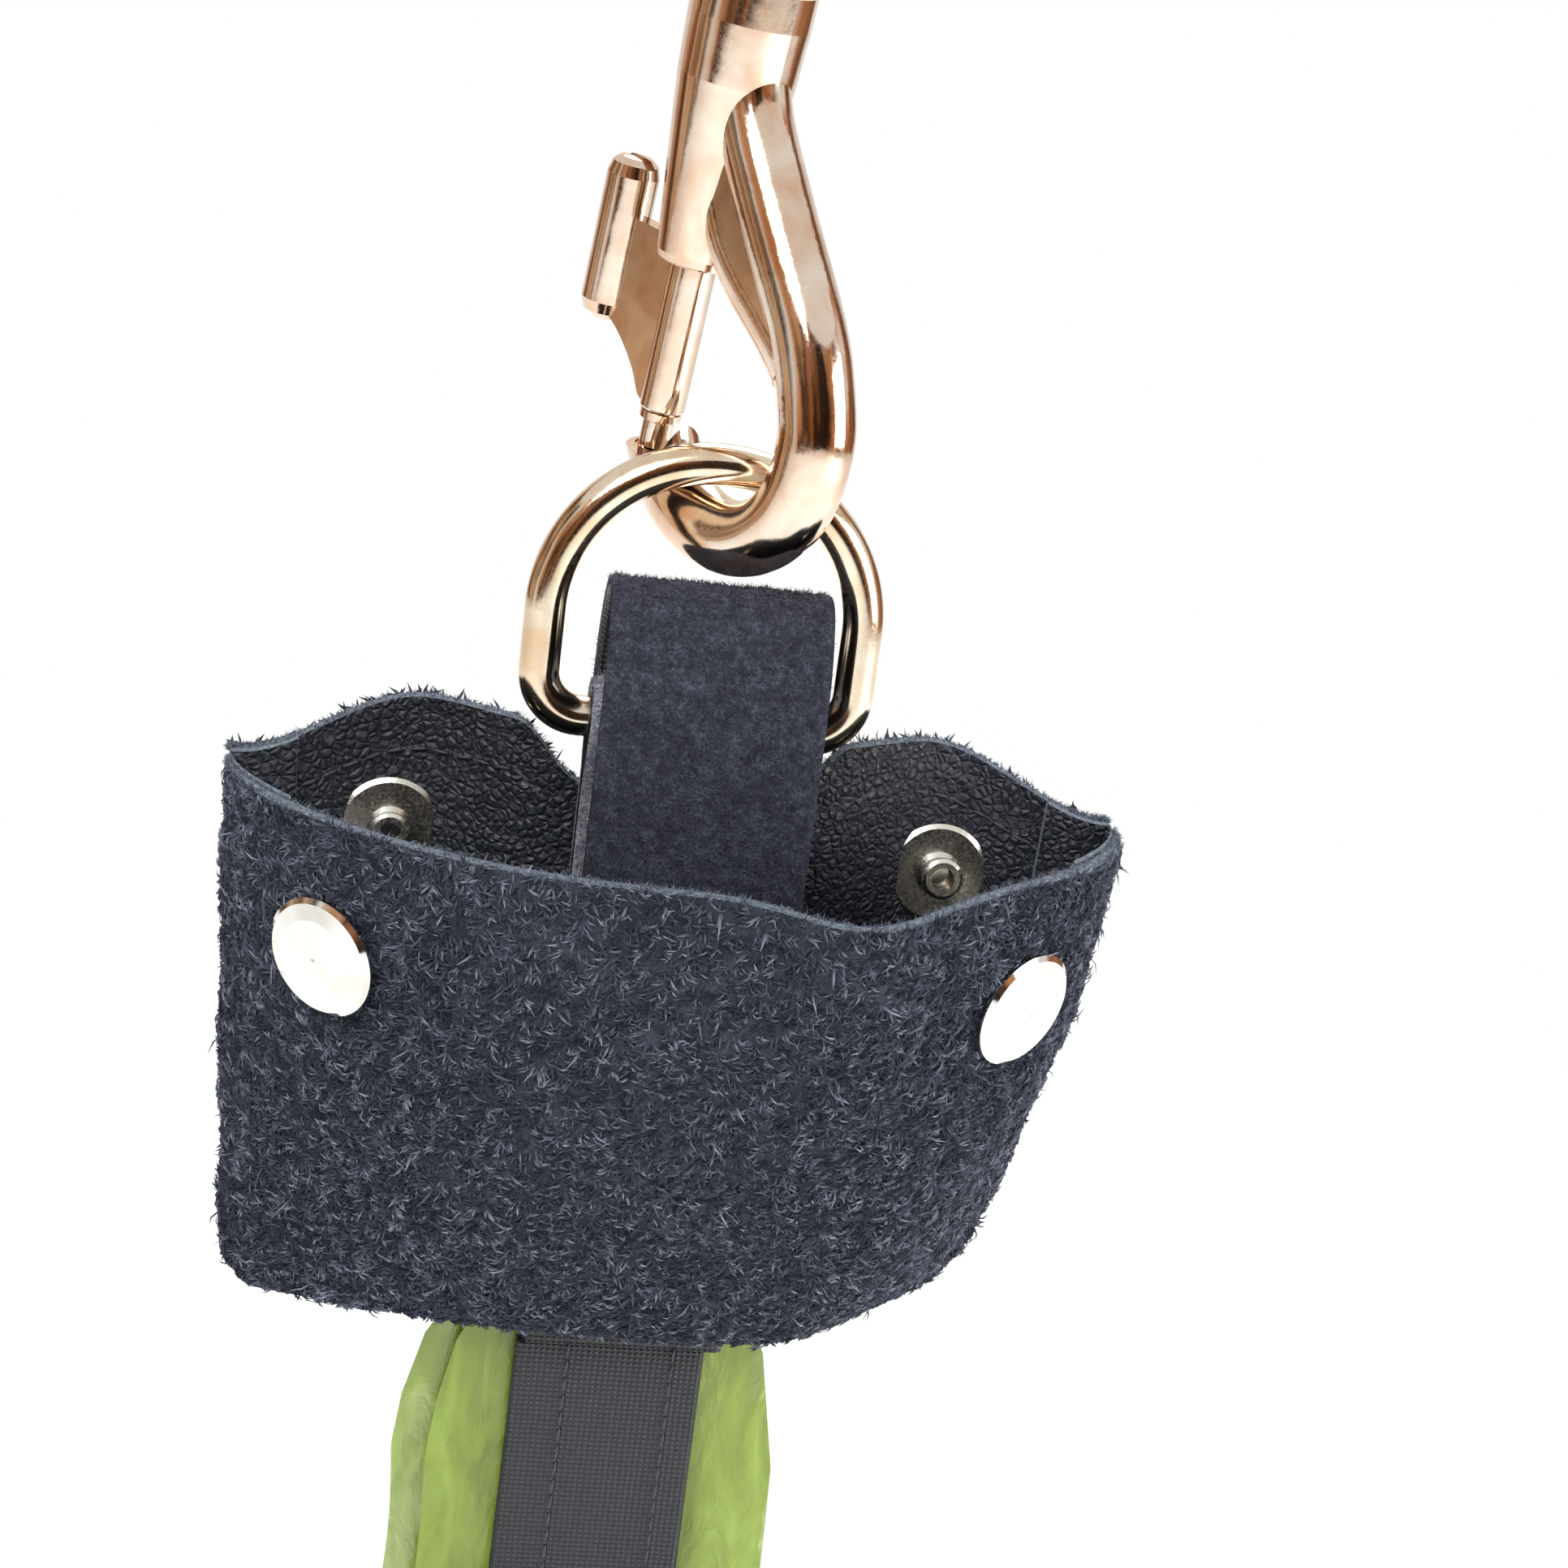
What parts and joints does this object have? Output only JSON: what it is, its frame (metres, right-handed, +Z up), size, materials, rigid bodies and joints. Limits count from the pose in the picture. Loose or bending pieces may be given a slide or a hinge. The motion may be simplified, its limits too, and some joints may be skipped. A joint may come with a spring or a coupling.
{
  "type": "clip-on waste bag pouch",
  "caption": "Open suede pouch with press-stud mouth, hung by a pile-faced webbing strap and D-ring from a swivel bolt snap, with a green film bag behind its tail.",
  "frame": {"origin": "centre of the swivel eye's opening, where the bag is hung", "axes": "+Z up along the hang, +X to the right seen from the front, the pouch's mouth opens up and its front faces -Y"},
  "size_m": [0.11, 0.0552, 0.297],
  "materials": {
    "nickel": "polished",
    "bolt_nickel": "polished",
    "spring_steel": "satin",
    "ring_nickel": "polished",
    "webbing": "woven",
    "pile": "looped",
    "thread": "matte",
    "suede": "napped",
    "stud_nickel": "polished",
    "hook_tape": "matte",
    "film": "glossy"
  },
  "bodies": {
    "eye": {"swivel_eye": "nickel", "swivel_rivet": "nickel"},
    "snap": {"snap_body": "nickel", "bolt_spring": "spring_steel"},
    "bolt": {"bolt": "bolt_nickel", "thumb_piece": "bolt_nickel"},
    "ring": {"d_ring": "ring_nickel"},
    "pouch": {"keeper_webbing": "webbing", "keeper_pile": "pile", "keeper_bartack": "thread", "strap_webbing": "webbing", "strap_pile": "pile", "strap_liner": "pile", "tail_webbing": "webbing", "tail_pile": "pile", "front_panel": "suede", "back_panel": "suede", "seam_allowance_l": "suede", "seam_allowance_r": "suede", "bottom_seam": "suede", "snap_stud_l": "stud_nickel", "snap_stud_r": "stud_nickel", "stud_eyelet_l": "stud_nickel", "stud_eyelet_r": "stud_nickel", "clamp_tab": "hook_tape", "waste_bag": "film"},
    "stud_left": {"snap_cap_l": "stud_nickel", "snap_socket_l": "stud_nickel"},
    "stud_right": {"snap_cap_r": "stud_nickel", "snap_socket_r": "stud_nickel"}
  },
  "joints": [
    {"name": "swivel_spin", "type": "hinge", "parent": "eye", "child": "snap", "pos_m": [0, 0, 0], "axis": [0.0918, -0.1219, 0.9883], "continuous": true},
    {"name": "bolt_slide", "type": "slide", "parent": "snap", "child": "bolt", "axis": [0.0918, -0.1219, 0.9883], "range_m": [0, 0.009], "stiffness_N_per_m": 250, "springref_m": -0.006, "deforming": ["bolt_spring"]},
    {"name": "ring_swing", "type": "hinge", "parent": "snap", "child": "ring", "pos_m": [0, 0, -0.0815], "axis": [1, 0, 0], "range_deg": [-25, 25]},
    {"name": "pouch_tilt", "type": "hinge", "parent": "ring", "child": "pouch", "pos_m": [0, 0, -0.1139], "axis": [1, 0, 0], "range_deg": [-25, 25]},
    {"name": "mouth_left", "type": "hinge", "parent": "pouch", "child": "stud_left", "pos_m": [-0.0617, 0.0045, -0.14685], "axis": [-0.4621, -0.186, 0.8671], "range_deg": [0, 43.1], "deforming": ["front_panel"]},
    {"name": "mouth_right", "type": "hinge", "parent": "pouch", "child": "stud_right", "pos_m": [0.0617, 0.0045, -0.14685], "axis": [-0.4621, 0.186, -0.8671], "range_deg": [0, 43.1], "deforming": ["front_panel"]}
  ],
  "couplings": [
    {"joint": "mouth_right", "follows": "mouth_left", "ratio": 1}
  ]
}
